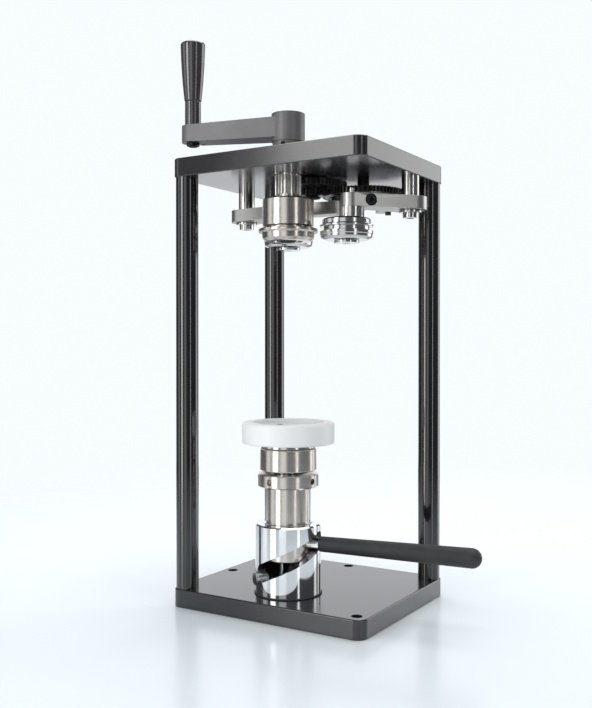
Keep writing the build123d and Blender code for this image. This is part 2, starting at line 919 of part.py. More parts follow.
def idler_gear():
    """Cluster: a large gear above and its own pinion below."""
    bore = stud_r + running
    phase = idler_angle + 180 + 180 / idler_teeth
    body = gear(idler_at, idler_teeth, phase, layer_a, bore)
    body = dished(body, idler_at, idler_teeth, layer_a, gear_module * idler_pinion_teeth / 2 + 3)
    return body + gear(idler_at, idler_pinion_teeth, cam_angle, layer_b, bore, gear_t + gear_gap)


def cam_gear():
    phase = cam_angle + 180 + 180 / cam_teeth
    body = gear(cam_at, cam_teeth, phase, layer_b, stud_r + running)
    for i in range(5):
        at = polar(cam_at, (gear_module * cam_teeth / 2 + cam_lobe_r) / 2, 72 * i)
        body -= disc(at, 5.0, layer_b - 1, layer_b + gear_t + 1)
    return body


def seaming_cam():
    """Cam with a base circle, a low first lobe and a high second lobe."""
    body = disc(cam_at, cam_base_r, cam_z, cam_z + cam_t)
    for angle, tip_r in ((100, 5.0), (250, 7.0)):
        tip = polar(cam_at, cam_lobe_r - tip_r, angle)
        body += tapered_link(cam_at, cam_base_r - 0.2, tip, tip_r, cam_z, cam_z + cam_t)
    return body - disc(cam_at, stud_r + running, cam_z - 1, cam_z + cam_t + 1)


def idler_clip():
    return ring(idler_at, stud_r + 2.5, stud_r, idler_low() + 0.5, idler_low() + 2)


def cam_stud():
    return gear_stud(cam_at, cam_low()) - disc(cam_at, 3.0, cam_low() - 1, cam_low() + 11)


def cam_stud_screw():
    return socket_screw(cam_at, 3.0, 5.0, 4.0, cam_low() - 2, cam_low() + 10)


def cam_washer():
    return ring(cam_at, stud_head_r, 3.0, cam_low() - 2, cam_low())


# Arms and what they carry

def clamp_spot(pivot, axle_at):
    return polar(axle_at, clamp_from_axle, heading(axle_at, pivot))


def clamp_seat(pivot, axle_at):
    """Counterbore of the clamp screw, in the side that faces away from the cam."""
    at = clamp_spot(pivot, axle_at)
    side = heading(pivot, axle_at) + 90
    z = arm_z + arm_t / 2
    hole = radial_rod(at, side, z, clamp_screw_r, -4, arm_boss_r + 6)
    return hole + radial_rod(at, side, z, clamp_head_r + bolt_room, clamp_under_head(), arm_boss_r + 6)


def clamp_under_head():
    return arm_end_r - clamp_head_h + 0.6


def clamp_screw(pivot, axle_at):
    at = clamp_spot(pivot, axle_at)
    side = heading(pivot, axle_at) + 90
    z = arm_z + arm_t / 2
    end = clamp_under_head() + clamp_head_h
    body = radial_rod(at, side, z, clamp_screw_r, -3, clamp_under_head() + 0.01)
    body += radial_rod(at, side, z, clamp_head_r, clamp_under_head(), end)
    return body - radial_rod(at, side, z, clamp_head_r * hex_af, end - clamp_head_h / 2, end + 1)


def arm_holes(body, pivot, axle_at, follower_at, spring_at):
    body -= disc(pivot, pivot_r + running, arm_z - 1, arm_top + 1)
    body -= disc(axle_at, axle_r, arm_z - 1, arm_top + 1)
    body -= disc(follower_at, follower_pin_r, arm_z - 1, arm_top + 1)
    body += disc(spring_at, spring_pin_r, arm_top, layer_b - side_play)
    return body - clamp_seat(pivot, axle_at)


def first_arm():
    body = tapered_link(first_pivot, arm_boss_r, first_axle_at, arm_end_r, arm_z, arm_top)
    body += tapered_link(first_pivot, arm_boss_r - 2, first_spring_at, tail_end_r, arm_top - tail_t, arm_top)
    return arm_holes(body, first_pivot, first_axle_at, first_follower_at, first_spring_at)


def second_spring_at():
    length = span(second_pivot, second_axle_at) * second_spring_along
    return polar(second_pivot, arm_boss_r + length, heading(second_pivot, second_axle_at) + 4)


def second_arm():
    body = tapered_link(second_pivot, arm_boss_r, second_axle_at, arm_end_r, arm_z, arm_top)
    body += tapered_link(second_axle_at, arm_end_r - 0.5, second_follower_at, arm_end_r - 2, arm_z, arm_top)
    return arm_holes(body, second_pivot, second_axle_at, second_follower_at, second_spring_at())


def pivot_post(at):
    """Shouldered post that carries an arm and hangs from the top plate."""
    body = disc(at, pivot_r, arm_z - side_play, roof_z)
    body += disc(at, stud_thread_r, roof_z, stud_top())
    return body - disc(at, pivot_screw_r, arm_z - 1, arm_z + 14)


def pivot_washers():
    low = arm_z - side_play - washer_h
    return [ring(at, washer_r, pivot_screw_r, low, low + washer_h) for at in (first_pivot, second_pivot)]


def pivot_screws():
    seat = arm_z - side_play - washer_h
    return [socket_screw(at, pivot_screw_r, pivot_head_r, pivot_head_h, seat, seat + 15)
            for at in (first_pivot, second_pivot)]


def roller_axle(at, axle_at):
    """Eccentric axle: it turns in the arm to set how close the roller comes."""
    body = disc(at, axle_r, roller_z, arm_z)
    body += disc(axle_at, axle_collar_r, roller_top + side_play, arm_z)
    body += disc(axle_at, axle_r, arm_z, arm_top)
    body += disc(axle_at, axle_tip_r, arm_top, arm_top + axle_tip_h)
    return body - disc(at, roller_screw_r, roller_z - 1, roller_z + 12)


def roller_screw(at):
    return socket_screw(at, roller_screw_r, roller_screw_head_r, roller_screw_head_h, roller_z, roller_z + 11,
                        hex_r=roller_screw_hex_r)


def seaming_roller(at):
    """Grooved roller: flange, seaming groove, ring and plain body."""
    groove_low = lip_z - groove_room
    groove_high = lip_z + chuck_lip_h + groove_room
    foot = roller_z + side_play
    flange_z = groove_low - roller_flange_h
    rim_z = groove_high + roller_rim_h
    return turned(
        at,
        (axle_r + running, foot),
        (roller_foot_r - 4, foot),
        (roller_foot_r - 0.6, foot + 1.4),
        (roller_foot_r, foot + 2.4),
        (roller_foot_r, flange_z),
        (roller_flange_r, flange_z + 0.6),
        (roller_flange_r, groove_low),
        (roller_neck_r, groove_low),
        (roller_neck_r, groove_high),
        (roller_rim_r, groove_high),
        (roller_rim_r, rim_z),
        (roller_r, rim_z + 0.8),
        (roller_r, roller_top - 1.5),
        (roller_r - 1.5, roller_top),
        (axle_r + running, roller_top),
    )


def cam_follower(at):
    return ring(at, follower_r, follower_pin_r, cam_z, cam_z + cam_t - 1)


def follower_pin(at):
    return disc(at, follower_pin_r, arm_z + 2, cam_z + cam_t - 1)


def spring_pin(at, low, high):
    return disc(at, spring_pin_r, low, high)


def return_spring(start, end):
    """Close-wound extension spring between two pins, with a loop at each end."""
    z = (arm_top + layer_b) / 2
    loop_r = spring_pin_r + return_wire_r + 0.15
    middle_r = return_coil_r - return_wire_r
    length = span(start, end)
    inner = loop_r + return_wire_r + 0.6
    path = Helix((length - 2 * inner) / return_turns, length - 2 * inner, middle_r)
    first = Plane(origin=path @ 0, x_dir=(1, 0, 0), z_dir=path % 0)
    wound = sweep(first * RegularPolygon(return_wire_r, 4), path, is_frenet=True)
    body = Rot(0, 90, 0) * Rot(0, 0, 90) * Pos(0, 0, inner) * wound
    reach = sqrt(loop_r ** 2 - middle_r ** 2)
    for centre, low, high in ((0, reach, inner + 0.6), (length, length - inner - 0.6, length - reach)):
        body += Pos(centre, 0, 0) * Torus(loop_r, return_wire_r)
        body += Pos((low + high) / 2, middle_r, 0) * Rot(0, 90, 0) * Cylinder(return_wire_r, high - low)
    return Pos(start[0], start[1], z) * Rot(0, 0, heading(start, end)) * body


# Writing one file for each named piece

def save(name, shape):
    solids = shape if isinstance(shape, list) else shape.solids()
    whole = solids[0] if len(solids) == 1 else Compound(children=list(solids))
    whole.label = name
    export_step(whole, f"parts/{name}.step")


def frame_pieces():
    base_screws = post_screws(post_screw_head_h + bolt_room, floor_z + post_screw_grip - 1, True)
    roof_screws = post_screws(roof_top - post_screw_head_h - bolt_room, roof_z - post_screw_grip + 1, False)
    spring_level = (arm_top + layer_b) / 2
    pieces = {
        "base_plate": base_plate(),
        "top_plate": top_plate(),
        "post_screws": base_screws + roof_screws,
        "lift_barrel": lift_barrel(),
        "barrel_seat_ring": ring(seam, barrel_r + seat_ring_w, barrel_r, floor_z, floor_z + seat_ring_h),
        "barrel_screws": barrel_screws(),
        "slot_stop_pin": slot_stop_pin(),
        "spindle_bearing_outer_races": [outer_race(seam, spindle_r, bearing_r, z, bearing_h)
                                        for z in bearing_levels()],
        "bearing_cover": bearing_cover(),
        "cover_screws": cover_screws(),
        "gear_studs": [gear_stud(idler_at, idler_low()), cam_stud()],
        "stud_retainers": [idler_clip(), cam_washer(), cam_stud_screw()],
        "arm_pivot_posts": [pivot_post(first_pivot), pivot_post(second_pivot)],
        "pivot_screws": pivot_screws() + pivot_washers(),
        "stud_nuts": stud_nuts(),
        "plate_spring_pins": [spring_pin(at, spring_level - 2, roof_z + roof_t / 2) for at in spring_posts()],
    }
    for name, at in posts.items():
        pieces[name] = post(at)
    return pieces


def lift_pieces():
    return {
        "spring_seat": disc(seam, spring_bore_r - running, spring_floor, spring_foot),
        "pressure_spring": pressure_spring(),
        "plunger": plunger(),
        "adjusting_ring": adjusting_ring(),
        "lever_rod": lever_rod(),
        "lever_grip": lever_grip(),
        "table_stem": table_stem(),
        "table_housing": table_housing(),
        "table_bearing_outer_race": outer_race(seam, hub_spigot_r, table_bearing_r, bearing_floor(),
                                               table_bearing_h),
        "table_bearing_inner_race": inner_race(seam, hub_spigot_r, bearing_floor(), table_bearing_h),
        "table_hub": table_hub(),
        "can_platform": can_platform(),
        "table_screws": table_screws(),
    }


def spindle_pieces():
    return {
        "spindle": spindle(),
        "spindle_bearing_inner_races": [inner_race(seam, spindle_r, z, bearing_h) for z in bearing_levels()],
        "drive_pinion": drive_pinion(),
        "chuck_holder": chuck_holder(),
        "seaming_chuck": seaming_chuck(),
        "chuck_screw": chuck_screw(),
        "spindle_collar": spindle_collar(),
        "collar_set_screw": collar_set_screw(),
        "crank_arm": crank_arm(),
        "handle_bolt": handle_bolt(),
        "handle_nut": handle_nut(),
        "handle_ferrule": handle_ferrule(),
        "handle_grip": handle_grip(),
    }


def train_pieces():
    return {
        "idler_gear": idler_gear(),
        "cam_gear": cam_gear(),
        "seaming_cam": seaming_cam(),
    }


def arm_pieces():
    pieces = {}
    arms = (
        ("first", first_arm(), first_pivot, first_roller_at, first_axle_at, first_follower_at,
         first_spring_at, first_spring_post),
        ("second", second_arm(), second_pivot, second_roller_at, second_axle_at, second_follower_at,
         second_spring_at(), second_spring_post),
    )
    for name, body, pivot, roller_at, axle_at, follower_at, spring_at, post_at in arms:
        pieces[name + "_arm"] = body
        pieces[name + "_clamp_screw"] = clamp_screw(pivot, axle_at)
        pieces[name + "_roller_axle"] = [roller_axle(roller_at, axle_at), roller_screw(roller_at)]
        pieces[name + "_roller"] = seaming_roller(roller_at)
        pieces[name + "_cam_follower"] = [cam_follower(follower_at), follower_pin(follower_at)]
        pieces[name + "_return_spring"] = return_spring(spring_at, post_at)
    return pieces


def main():
    groups = (frame_pieces(), lift_pieces(), spindle_pieces(), train_pieces(), arm_pieces())
    for group in groups:
        for name, shape in group.items():
            save(name, shape)


main()
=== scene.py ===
import json
from math import cos, pi, radians, sin

import bmesh
import bpy
from mathutils import Matrix, Vector


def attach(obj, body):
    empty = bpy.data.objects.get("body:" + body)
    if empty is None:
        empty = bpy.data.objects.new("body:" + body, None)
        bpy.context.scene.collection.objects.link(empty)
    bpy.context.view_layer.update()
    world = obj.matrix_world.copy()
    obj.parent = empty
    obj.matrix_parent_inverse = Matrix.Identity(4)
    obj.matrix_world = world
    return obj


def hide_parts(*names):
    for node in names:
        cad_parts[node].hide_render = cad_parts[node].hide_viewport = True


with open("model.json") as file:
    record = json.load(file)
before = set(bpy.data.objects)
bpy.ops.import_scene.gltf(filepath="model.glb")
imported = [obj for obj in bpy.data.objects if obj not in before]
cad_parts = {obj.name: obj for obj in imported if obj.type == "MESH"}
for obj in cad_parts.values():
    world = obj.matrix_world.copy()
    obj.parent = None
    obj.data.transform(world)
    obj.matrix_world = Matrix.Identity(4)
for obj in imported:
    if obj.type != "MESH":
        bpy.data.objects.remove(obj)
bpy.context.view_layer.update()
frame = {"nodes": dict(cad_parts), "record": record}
MM = 0.001

# Camera, from the corners of both plates in the photo
CAMERA_AT = (0.4682, -0.7909, 0.2554)
CAMERA_YAW = 31.53
CAMERA_PITCH = -0.58
CAMERA_LENS = 46.85

# Places on the object, in metres
SEAM = (0.0, -0.042)  # axis of table, chuck and crank
HANDLE = (-0.0976, -0.0638)
FIRST_ROLLER = (0.054, -0.0245)
SECOND_ROLLER = (-0.030, 0.0065)
FIRST_AXLE = (0.0586, -0.0230)  # where the eccentric axles sit in the arms
SECOND_AXLE = (-0.0325, 0.0106)
FIRST_PIVOT = (0.096, 0.027)
SECOND_PIVOT = (-0.091, 0.020)
FIRST_SPRING = ((0.04422, 0.06887), (-0.006, 0.050))
SECOND_SPRING = ((-0.05442, 0.0167), (-0.045, 0.080))
SPRING_LEVEL = 0.4005
POSTS = {"front_left_post": (-0.0935, -0.0785), "back_left_post": (-0.0935, 0.0785),
         "back_right_post": (0.0935, 0.0785)}

# Clamp screws in the sides of the arms, in metres
CLAMP_FROM_AXLE = 0.0148
CLAMP_UNDER_HEAD = 0.0051
CLAMP_LEVEL = 0.39125
CLAMP_SIZES = {"Head_Radius": 0.0055, "Head_Height": 0.006, "Socket_Radius": 0.0028, "Shank_Radius": 0.003,
               "Shank_Length": 0.008}

# Wire of the return springs, in metres
SPRING_SIZES = {"Coil_Radius": 0.0017, "Wire_Radius": 0.0007, "Hook_Radius": 0.00265}

# Shading
ON_AXIS = 1e-6          # metres from an axis within which a face has no side
BROAD_FACE = 0.00012    # square metres from which a face is taken as flat
LEVEL_FACE = 0.9999     # upward share of a normal from which a face is level
UPRIGHT_SHARE = 0.02    # sideways share of a normal from which a face can be part of a turned surface
ROUND_ANGLE = 9.0       # degrees that a face of a turned surface may lean away from its axis

# Stage, in metres
FLOOR_REACH = 4.0
FLOOR_FADE = (0.3, 1.1)     # distances between which the floor gives way to the background
LIGHT_CIRCLE = 1.4
LIGHT_LEVEL = 0.45
LIGHT_TALL = 1.5
LIGHTS_AIM = (0.0, 0.0, 0.27)

# Head of a socket screw, as shares of its height or radius
BODY_SHARE = 0.86
CAP_FOOT_SHARE = 0.96
CAP_TOP_SHARE = 0.87
SHANK_SHARE = 0.58
RIM_SHARE = 0.9         # what is further out than this belongs to the head

# Colours of the finishes, linear
ANODISED = (0.012, 0.012, 0.014)
ENAMEL = (0.006, 0.006, 0.007)
CRANK_GREY = (0.165, 0.165, 0.168)
HANDLE_BLACK = (0.035, 0.035, 0.038)
CHROME = (0.86, 0.87, 0.89)
NICKEL = (0.70, 0.655, 0.60)
BRIGHT_STEEL = (0.66, 0.655, 0.64)
ARM_SILVER = (0.55, 0.545, 0.53)
BLACK_OXIDE = (0.022, 0.022, 0.023)
ROLLER_STEEL = (0.62, 0.62, 0.62)
GEAR_STEEL = (0.050, 0.050, 0.048)
RUBBER = (0.030, 0.031, 0.033)
PLATFORM_WHITE = (0.83, 0.84, 0.84)
FLOOR_WHITE = (0.74, 0.80, 0.84)


# Shader maths

class Signal:
    """A socket of a node tree that takes part in sums as a number does."""

    def __init__(self, owner, socket):
        self.owner = owner
        self.socket = socket

    def maths(self, operation, *values):
        return self.owner.node("ShaderNodeMath", {"operation": operation}, *values)

    def __add__(self, other):
        return self.maths("ADD", self, other)

    def __radd__(self, other):
        return self.maths("ADD", other, self)

    def __sub__(self, other):
        return self.maths("SUBTRACT", self, other)

    def __rsub__(self, other):
        return self.maths("SUBTRACT", other, self)

    def __mul__(self, other):
        return self.maths("MULTIPLY", self, other)

    def __rmul__(self, other):
        return self.maths("MULTIPLY", other, self)

    def __truediv__(self, other):
        return self.maths("DIVIDE", self, other)

    def clamped(self, low, high):
        """This value spread from low and high over 0 to 1, and held there."""
        return self.owner.node("ShaderNodeMapRange", {"clamp": True}, self, low, high, 0.0, 1.0)


class NodeTree:
    """What the trees of a material and of a shape have in common."""

    def feed(self, value, socket):
        if isinstance(value, Signal):
            self.tree.links.new(value.socket, socket)
        elif hasattr(value, "__len__") and len(value) == 3 and len(socket.default_value) == 4:
            socket.default_value = (*value, 1.0)
        else:
            socket.default_value = value

    def node(self, kind, settings, *values, out=0, **named):
        """Any node: its settings first, then the values or links of its sockets."""
        node = self.tree.nodes.new(kind)
        for key, value in settings.items():
            setattr(node, key, value)
        for socket, value in zip(node.inputs, values):
            self.feed(value, socket)
        for key, value in named.items():
            self.feed(value, node.inputs[key.replace("_", " ")])
        return Signal(self, node.outputs[out])


class Finish(NodeTree):
    """One material: a Principled shader and what feeds it."""

    def __init__(self, name, colour, roughness, metallic=0.0, **plain):
        self.material = bpy.data.materials.new(name)
        self.material.use_nodes = True
        self.tree = self.material.node_tree
        self.shader = self.tree.nodes["Principled BSDF"]
        self.set("Base Color", colour)
        self.set("Roughness", roughness)
        self.set("Metallic", metallic)
        for socket, value in plain.items():
            self.set(socket.replace("_", " "), value)

    def set(self, socket, value):
        self.feed(value, self.shader.inputs[socket])

    def place(self):
        return self.node("ShaderNodeTexCoord", {}, out="Object")

    def noise(self, vector, scale, detail=3.0, roughness=0.5):
        return self.node("ShaderNodeTexNoise", {}, Vector=vector, Scale=scale, Detail=detail,
                         Roughness=roughness)

    def stretched(self, vector, scale, turn=0.0):
        return self.node("ShaderNodeMapping", {}, Vector=vector, Scale=scale, Rotation=(0.0, 0.0, turn))

    def blend(self, factor, first, second):
        """Mixes two colours."""
        mix = self.tree.nodes.new("ShaderNodeMix")
        mix.data_type = "RGBA"
        self.feed(factor, mix.inputs["Factor"])
        self.feed(first, mix.inputs[6])
        self.feed(second, mix.inputs[7])
        return Signal(self, mix.outputs[2])

    def bump(self, height, strength, distance=0.0002):
        bump = self.node("ShaderNodeBump", {}, Height=height, Strength=strength, Distance=distance)
        self.set("Normal", bump)

    def vary(self, colour, roughness, scale, tint=0.12, spread=0.06):
        """Cloudy change of tone and gloss that a wiped or handled surface shows."""
        cloud = self.noise(self.place(), scale, 4.0, 0.6)
        darker = tuple(c * (1 - tint) for c in colour)
        lighter = tuple(min(1.0, c * (1 + tint)) for c in colour)
        self.set("Base Color", self.blend(cloud.clamped(0.3, 0.7), darker, lighter))
        self.set("Roughness", cloud * spread * 2 + (roughness - spread))
        return cloud


def turning_lines(finish, centre, fine):
    """Fine rings left by a lathe, the same all the way round the axis at a centre."""
    offset = (-centre[0], -centre[1], 0.0)
    moved = finish.node("ShaderNodeVectorMath", {"operation": "ADD"}, finish.place(), offset)
    flat = finish.node("ShaderNodeVectorMath", {"operation": "MULTIPLY"}, moved, (1.0, 1.0, 0.0))
    radius = finish.node("ShaderNodeVectorMath", {"operation": "LENGTH"}, flat, out="Value")
    height = finish.node("ShaderNodeSeparateXYZ", {}, moved, out="Z")
    along = finish.node("ShaderNodeCombineXYZ", {}, radius, 0.0, height)
    return finish.noise(along, fine, 3.0, 0.7)


def anodised_plate():
    finish = Finish("black_anodised_plate", ANODISED, 0.2, 0.0, Specular_IOR_Level=0.75, Coat_Weight=0.35,
                    Coat_Roughness=0.12)
    cloud = finish.vary(ANODISED, 0.2, 14.0, 0.25, 0.05)
    grain = finish.noise(finish.place(), 2600.0, 2.0)
    finish.bump(grain + cloud * 0.5, 0.05)
    return finish.material


def gloss_enamel():
    finish = Finish("gloss_black_enamel", ENAMEL, 0.09, 0.0, Specular_IOR_Level=0.6, Coat_Weight=0.8,
                    Coat_Roughness=0.04)
    cloud = finish.vary(ENAMEL, 0.1, 30.0, 0.3, 0.03)
    finish.bump(finish.noise(finish.place(), 90.0, 2.0) + cloud * 0.2, 0.03)
    return finish.material


def crank_coating():
    finish = Finish("dark_grey_crank_coating", CRANK_GREY, 0.45, 0.3, Specular_IOR_Level=0.5)
    finish.vary(CRANK_GREY, 0.42, 24.0, 0.18, 0.05)
    finish.bump(finish.noise(finish.place(), 3200.0, 3.0, 0.6), 0.22)
    return finish.material


def polished_handle():
    finish = Finish("polished_black_handle", HANDLE_BLACK, 0.1, 0.0, Specular_IOR_Level=0.6, Coat_Weight=0.9,
                    Coat_Roughness=0.05)
    finish.vary(HANDLE_BLACK, 0.1, 60.0, 0.3, 0.04)
    finish.bump(finish.noise(finish.place(), 400.0, 2.0), 0.02)
    return finish.material


def bright_chrome(name, centre):
    finish = Finish("chrome_" + name, CHROME, 0.07, 1.0)
    wiped = finish.noise(finish.place(), 45.0, 5.0, 0.65)
    rings = turning_lines(finish, centre, 1400.0)
    finish.set("Roughness", wiped.clamped(0.35, 0.8) * 0.08 + 0.05)
    finish.set("Base Color", finish.blend(wiped.clamped(0.4, 0.8), CHROME, tuple(c * 0.9 for c in CHROME)))
    finish.bump(rings, 0.04, 0.00005)
    return finish.material


def turned_metal(name, colour, centre, roughness=0.24, cut=0.16):
    finish = Finish("turned_" + name, colour, roughness, 1.0)
    rings = turning_lines(finish, centre, 2200.0)
    cloud = finish.noise(finish.place(), 60.0, 4.0)
    finish.set("Roughness", rings * 0.14 + cloud * 0.08 + (roughness - 0.11))
    darker = tuple(c * 0.84 for c in colour)
    finish.set("Base Color", finish.blend(rings.clamped(0.3, 0.7), darker, colour))
    finish.bump(rings, cut, 0.00005)
    return finish.material


def milled_arm(name, turn):
    """Brushed silver whose lines run along the arm."""
    finish = Finish("milled_silver_" + name, ARM_SILVER, 0.34, 1.0)
    lines = finish.noise(finish.stretched(finish.place(), (60.0, 1800.0, 1800.0), -turn), 1.0, 3.0, 0.6)
    cloud = finish.noise(finish.place(), 40.0, 3.0)
    finish.set("Roughness", lines * 0.16 + cloud * 0.08 + 0.22)
    darker = tuple(c * 0.82 for c in ARM_SILVER)
    finish.set("Base Color", finish.blend(lines.clamped(0.3, 0.7), darker, ARM_SILVER))
    finish.bump(lines, 0.2, 0.00005)
    return finish.material


def black_oxide():
    finish = Finish("black_oxide_screws", BLACK_OXIDE, 0.45, 0.4, Specular_IOR_Level=0.35)
    finish.vary(BLACK_OXIDE, 0.45, 300.0, 0.3, 0.08)
    finish.bump(finish.noise(finish.place(), 2500.0, 3.0), 0.15)
    return finish.material


def oiled_gears():
    finish = Finish("oiled_gear_steel", GEAR_STEEL, 0.3, 0.75, Specular_IOR_Level=0.6)
    cloud = finish.vary(GEAR_STEEL, 0.3, 120.0, 0.35, 0.1)
    finish.bump(cloud, 0.12)
    return finish.material


def matt_rubber():
    finish = Finish("matt_black_rubber", RUBBER, 0.55, 0.0, Specular_IOR_Level=0.4)
    finish.vary(RUBBER, 0.55, 35.0, 0.2, 0.07)
    finish.bump(finish.noise(finish.place(), 3000.0, 2.0, 0.6), 0.3)
    return finish.material


def white_plastic():
    finish = Finish("white_platform_plastic", PLATFORM_WHITE, 0.32, 0.0)
    rings = turning_lines(finish, SEAM, 1200.0)
    finish.vary(PLATFORM_WHITE, 0.34, 18.0, 0.02, 0.06)
    finish.bump(rings, 0.06, 0.0001)
    return finish.material


# Pieces made from the frame's own solids

def merged(node):
    """Copy of a CAD node's mesh with its doubled points joined."""
    mesh = bpy.data.meshes.new(node + "_dressed")
    source = bmesh.new()
    source.from_mesh(frame["nodes"][node].data)
    bmesh.ops.remove_doubles(source, verts=source.verts, dist=2e-6)
    bmesh.ops.dissolve_limit(source, angle_limit=radians(0.2), verts=source.verts, edges=source.edges)
    source.to_mesh(mesh)
    source.free()
    return mesh


def body_of(node):
    bodies = frame["record"]["behaviour"]["bodies"]
    return next(body for body, nodes in bodies.items() if node in nodes)


def slot_of(node):
    return next(part["material_slot"] for part in frame["record"]["subparts"] if part["node"] == node)


def placed(name, mesh, node):
    piece = bpy.data.objects.new(name, mesh)
    bpy.context.scene.collection.objects.link(piece)
    return settle(piece, node)


def settle(piece, node):
    """Rides a finished piece on the body of the node that it stands for."""
    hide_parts(node)
    slot_of(node)
    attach(piece, body_of(node))
    return piece


def shade_truly(mesh, axis):
    """Flat faces get flat normals, and faces that lie round an axis those of the true round surface."""
    normals = [corner.vector.copy() for corner in mesh.corner_normals]
    for face in mesh.polygons:
        broad = axis is None and face.area > BROAD_FACE
        if broad or abs(face.normal.z) > LEVEL_FACE:
            for corner in face.loop_indices:
                normals[corner] = face.normal.copy()
        if axis is None:
            continue
        across = Vector((face.normal.x, face.normal.y, 0.0))
        out = Vector((face.center.x - axis[0], face.center.y - axis[1], 0.0))
        if across.length < UPRIGHT_SHARE or out.length < ON_AXIS:
            continue
        lean = across.normalized().dot(out.normalized())
        if abs(lean) < cos(radians(ROUND_ANGLE)):
            continue
        for corner in face.loop_indices:
            spot = mesh.vertices[mesh.loops[corner].vertex_index].co
            out = Vector((spot.x - axis[0], spot.y - axis[1], 0.0)).normalized() * across.length
            if lean < 0:
                out.negate()
            normals[corner] = out + Vector((0.0, 0.0, face.normal.z))
    mesh.normals_split_custom_set(normals)


def eased(node, material, edge=0.3, smooth=28.0, axis=None, broad=False):
    """A node's solid with its sharp edges broken and its curves shaded smooth."""
    mesh = merged(node)
    piece = bpy.data.objects.new(node + "_finished", mesh)
    bpy.context.scene.collection.objects.link(piece)
    mesh.materials.clear()
    mesh.materials.append(material)
    for face in mesh.polygons:
        face.use_smooth = True
    mesh.set_sharp_from_angle(angle=radians(smooth + 12))
    if edge:
        bevel = piece.modifiers.new("broken_edges", "BEVEL")
        bevel.width = edge * MM
        bevel.segments = 2
        bevel.limit_method = "ANGLE"
        bevel.angle_limit = radians(smooth)
        bevel.use_clamp_overlap = True
        bevel.harden_normals = axis is None
    plain = bpy.data.meshes.new_from_object(piece.evaluated_get(bpy.context.evaluated_depsgraph_get()))
    piece.modifiers.clear()
    piece.data = plain
    if axis or broad:
        shade_truly(plain, axis)
    return settle(piece, node)


# Geometry Nodes: what repeats or follows a rule

class Recipe(NodeTree):
    """A Geometry Nodes tree with named inputs."""

    def __init__(self, name, sizes):
        self.tree = bpy.data.node_groups.new(name, "GeometryNodeTree")
        self.tree.is_modifier = True
        face = self.tree.interface
        face.new_socket("Geometry", in_out="INPUT", socket_type="NodeSocketGeometry")
        face.new_socket("Geometry", in_out="OUTPUT", socket_type="NodeSocketGeometry")
        self.keys = {}
        for label, value in sizes.items():
            kind = "NodeSocketInt" if isinstance(value, int) else "NodeSocketFloat"
            self.keys[label] = face.new_socket(label, in_out="INPUT", socket_type=kind).identifier
        self.keys["Material"] = face.new_socket("Material", in_out="INPUT",
                                                socket_type="NodeSocketMaterial").identifier
        self.sizes = sizes
        self.start = self.tree.nodes.new("NodeGroupInput")

    def given(self, label):
        return Signal(self, self.start.outputs[label])

    def join(self, *shapes):
        join = self.tree.nodes.new("GeometryNodeJoinGeometry")
        for shape in reversed(shapes):
            self.tree.links.new(shape.socket, join.inputs[0])
        return Signal(self, join.outputs[0])

    def raised(self, shape, height):
        offset = self.node("ShaderNodeCombineXYZ", {}, 0.0, 0.0, height)
        return self.node("GeometryNodeTransform", {}, Geometry=shape, Translation=offset)

    def rod(self, sides, radius, height):
        return self.node("GeometryNodeMeshCylinder", {"fill_type": "NGON"}, Vertices=sides, Radius=radius,
                         Depth=height)

    def cut(self, shape, tool):
        knife = self.tree.nodes.new("GeometryNodeMeshBoolean")
        knife.operation = "DIFFERENCE"
        self.tree.links.new(shape.socket, knife.inputs["Mesh 1"])
        self.tree.links.new(tool.socket, knife.inputs["Mesh 2"])
        return Signal(self, knife.outputs[0])

    def finish(self, shape):
        """Makes real geometry of the result and gives it its material."""
        real = self.node("GeometryNodeRealizeInstances", {}, shape)
        dressed = self.node("GeometryNodeSetMaterial", {}, Geometry=real, Material=self.given("Material"))
        self.tree.links.new(dressed.socket, self.tree.nodes.new("NodeGroupOutput").inputs[0])

    def make(self, name, mesh, material, **sizes):
        """Runs the tree on a mesh and returns a plain mesh."""
        carrier = bpy.data.objects.new(name, mesh)
        bpy.context.scene.collection.objects.link(carrier)
        modifier = carrier.modifiers.new("recipe", "NODES")
        modifier.node_group = self.tree
        modifier[self.keys["Material"]] = material
        for label, value in self.sizes.items():
            modifier[self.keys[label]] = sizes.get(label.replace(" ", "_"), value)
        carrier.update_tag()
        plain = bpy.data.meshes.new_from_object(carrier.evaluated_get(bpy.context.evaluated_depsgraph_get()))
        bpy.data.objects.remove(carrier)
        return plain


def knurled(r, head):
    """Pulls in every second corner of a round head."""
    place = r.node("GeometryNodeInputPosition", {})
    x, y, z = [r.node("ShaderNodeSeparateXYZ", {}, place, out=i) for i in range(3)]
    second = r.node("ShaderNodeMath", {"operation": "MODULO"}, r.node("GeometryNodeInputIndex", {}), 2.0)
    shrink = 1.0 - second * r.given("Ridge")
    ribbed = r.node("ShaderNodeCombineXYZ", {}, x * shrink, y * shrink, z)
    return r.node("GeometryNodeSetPosition", {}, Geometry=head, Position=ribbed)


